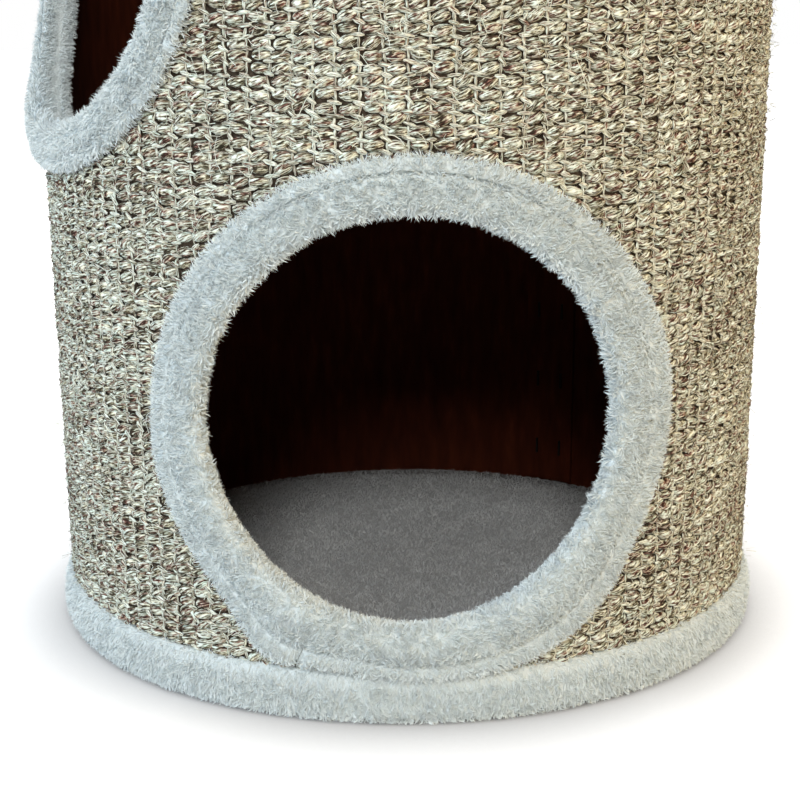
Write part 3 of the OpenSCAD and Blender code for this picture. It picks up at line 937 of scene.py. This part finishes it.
profile = cushion_profile(22)
blank_turn = np.linspace(0, 2 * math.pi, CUSHION_SIDES, endpoint=False)[:, None]
blank_grid = on_barrel(blank_turn, profile[:, 1][None, :], profile[:, 0][None, :])
ring = len(profile)
top_pole = CUSHION_SIDES * ring
blank_faces = grid_faces(CUSHION_SIDES + 1, ring) % top_pole
poles = np.array([[0, 0, profile[0, 1]], [0, 0, profile[-1, 1]]])
side_start = np.arange(CUSHION_SIDES) * ring
next_start = (side_start + ring) % top_pole
pole_fan = np.full(CUSHION_SIDES, top_pole)
top_fan = np.column_stack([pole_fan, next_start, side_start])
low_fan = np.column_stack([pole_fan + 1, side_start + ring - 1, next_start + ring - 1])
blank_triangles = np.concatenate([
    blank_faces[:, [0, 1, 2]], blank_faces[:, [0, 2, 3]], top_fan, low_fan,
])
cover_points, cover_quads = swell(
    np.concatenate([blank_grid.reshape(-1, 3), poles]), blank_triangles, cap=7 * MM,
)
a, b, c, d = (cover_points[cover_quads[:, k]] for k in range(4))
face_normals = np.cross(c - a, d - b)
cover_normals = np.zeros_like(cover_points)
for corner in range(4):
    np.add.at(cover_normals, cover_quads[:, corner], face_normals)
seam_off = (cover_points[:, 2] - cushion_low[2] - CUSHION_SEAM_H) / CUSHION_SEAM_W
out_from_axis = np.hypot(cover_points[:, 0], cover_points[:, 1])
on_seam = np.exp(-seam_off ** 2) * (out_from_axis > 0.9 * cushion_r)
beside_seam = cover_points[:, :2] * (cushion_r / np.maximum(out_from_axis, MM))[:, None]
near_seam = np.exp((out_from_axis - cushion_r) / PUCKER_REACH)
pucker = near_seam * (0.5 + 0.5 * waves(beside_seam, 26 * MM, 71))
cover_skin = {
    "points": cover_points - unit(cover_normals) * (MM * (1.5 * on_seam + 2.2 * pucker))[:, None],
    "normals": unit(cover_normals),
    "faces": np.concatenate([cover_quads[:, [0, 1, 2]], cover_quads[:, [0, 2, 3]]]),
    "tall": 1 - 0.55 * on_seam,
    "thick": np.where(cover_points[:, 2] < cushion_low[2] + 3 * MM, 0.15, 1.0),
    "comb": np.zeros_like(cover_points),
}
cushion = plush_piece(
    "lounge_cushion", plush, cover_skin,
    grow_pile(cover_skin, 78000, 700, length=5.4 * MM, width=0.5 * MM),
    ground=cushion_low[2] + 0.2 * MM,
)
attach(cushion, "cushion")
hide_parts("cushion_cover")


# Floor, light and camera. A white sweep under soft studio light, seen from a little above as in the
# reference picture.

NEAR_GLOW = 0.66
FLOOR_SEEN = 0.9
FLOOR_BOUNCE = 0.94
CONTACT_REACH = 58 * MM
# Painted shadow and glow: for camera rays an ambient occlusion factor darkens the floor's colour near
# the object as a painted contact shadow. An emission that only the camera sees paints the floor white,
# dimmer near the object and darkened by the same contact shadow.
floor_finish = Finish("studio_floor", roughness=0.9, specular=0.1)
contact_shadow_ao = floor_finish.signal("AmbientOcclusion", "AO", {"samples": 8}, {"Distance": CONTACT_REACH})
seen_floor = floor_finish.signal("LightPath", "Is Camera Ray")
floor_finish.colour(floor_finish.ramp(
    seen_floor * (contact_shadow_ao * FLOOR_SEEN - FLOOR_BOUNCE) + FLOOR_BOUNCE,
    [(0.36, (0.24, 0.24, 0.24)), (0.9, (0.55, 0.55, 0.55)), (1.0, (0.9, 0.9, 0.9))],
))
far_off = floor_finish.signal("VectorMath", "Value", {"operation": "LENGTH"}, [floor_finish.place()])
floor_glow = floor_finish.signal("MapRange", "Result", None, [far_off, 0.3, 1.1, NEAR_GLOW, 1.0])
floor_finish.fill(floor_finish.shader.inputs["Emission Color"], floor_glow * contact_shadow_ao * seen_floor)
floor_finish.shader.inputs["Emission Strength"].default_value = 1.0
FLOOR_HALF = 12.0
floor = lay_mesh(
    "studio_floor", np.array([[-1, -1, 0], [1, -1, 0], [1, 1, 0], [-1, 1, 0]]) * FLOOR_HALF,
    np.array([[0, 1, 2, 3]]), floor_finish, np.array([[0, 0], [1, 0], [1, 1], [0, 1]]),
)

world = bpy.data.worlds.new("studio")
world.use_nodes = True
bpy.context.scene.world = world
studio = Nodes(world.node_tree)
seen = studio.signal("LightPath", "Is Camera Ray")
for ray in ("Is Glossy Ray", "Is Transmission Ray"):
    seen = seen.math("MAXIMUM", studio.signal("LightPath", ray))
surround = world.node_tree.nodes["Background"]
surround.inputs["Color"].default_value = (1.0, 1.0, 1.0, 1.0)
WORLD_LEVEL = 0.2
studio.fill(surround.inputs["Strength"], seen * (1 - WORLD_LEVEL) + WORLD_LEVEL)


def softbox(name, place, target, size, power, tint):
    """A square area lamp at a place, facing a target."""
    lamp = bpy.data.lights.new(name, "AREA")
    lamp.size = size
    lamp.energy = power
    lamp.color = tint
    holder = bpy.data.objects.new(name, lamp)
    holder.location = place
    way = np.subtract(target, place)
    holder.rotation_euler = (
        math.atan2(math.hypot(way[0], way[1]), -way[2]), 0.0, math.atan2(-way[0], way[1]),
    )
    bpy.context.scene.collection.objects.link(holder)


softbox(
    "key_softbox", place=(-0.14, -1.9, 1.22), target=(0, 0, 0.2), size=0.45, power=27.5,
    tint=(1.0, 1.0, 0.98),
)
softbox(
    "cool_softbox", place=(-1.9, -1.1, 1.0), target=(0, 0, 0.2), size=1.3, power=23.0,
    tint=(0.76, 1.0, 1.26),
)
softbox(
    "warm_softbox", place=(1.9, -1.1, 1.0), target=(0, 0, 0.2), size=1.3, power=15.0,
    tint=(1.46, 1.0, 0.4),
)
softbox(
    "top_softbox", place=(0.0, -0.2, 2.4), target=(0, 0, 0.3), size=1.4, power=15.0,
    tint=(1.0, 1.0, 1.0),
)
softbox(
    "back_softbox", place=(0.4, 2.4, 1.6), target=(0, 0, 0.3), size=1.5, power=44.0,
    tint=(1.0, 1.0, 1.0),
)

PHOTO_SIZE = 800
FOCAL_PIXELS = 1580
CAMERA_BACK = 0.8754
CAMERA_UP = 0.3264
CAMERA_TURN = math.radians(-0.45)
CAMERA_ROLL = math.radians(0.38)
PITCH_DOWN = math.radians(16.06)
SHIFT_PIXELS = 60
SENSOR_W = 36.0
CAMERA_AIM = 0.0022
camera_data = bpy.data.cameras.new("photo_camera")
camera_data.sensor_width = SENSOR_W
camera_data.lens = SENSOR_W * FOCAL_PIXELS / PHOTO_SIZE
camera_data.shift_y = SHIFT_PIXELS / PHOTO_SIZE
camera = bpy.data.objects.new("photo_camera", camera_data)
camera.location = (
    CAMERA_BACK * math.sin(CAMERA_TURN), -CAMERA_BACK * math.cos(CAMERA_TURN), CAMERA_UP,
)
camera.rotation_euler = (math.pi / 2 - PITCH_DOWN, CAMERA_ROLL, CAMERA_TURN + CAMERA_AIM)
bpy.context.scene.collection.objects.link(camera)
bpy.context.scene.camera = camera
bpy.context.scene.view_settings.view_transform = "Standard"
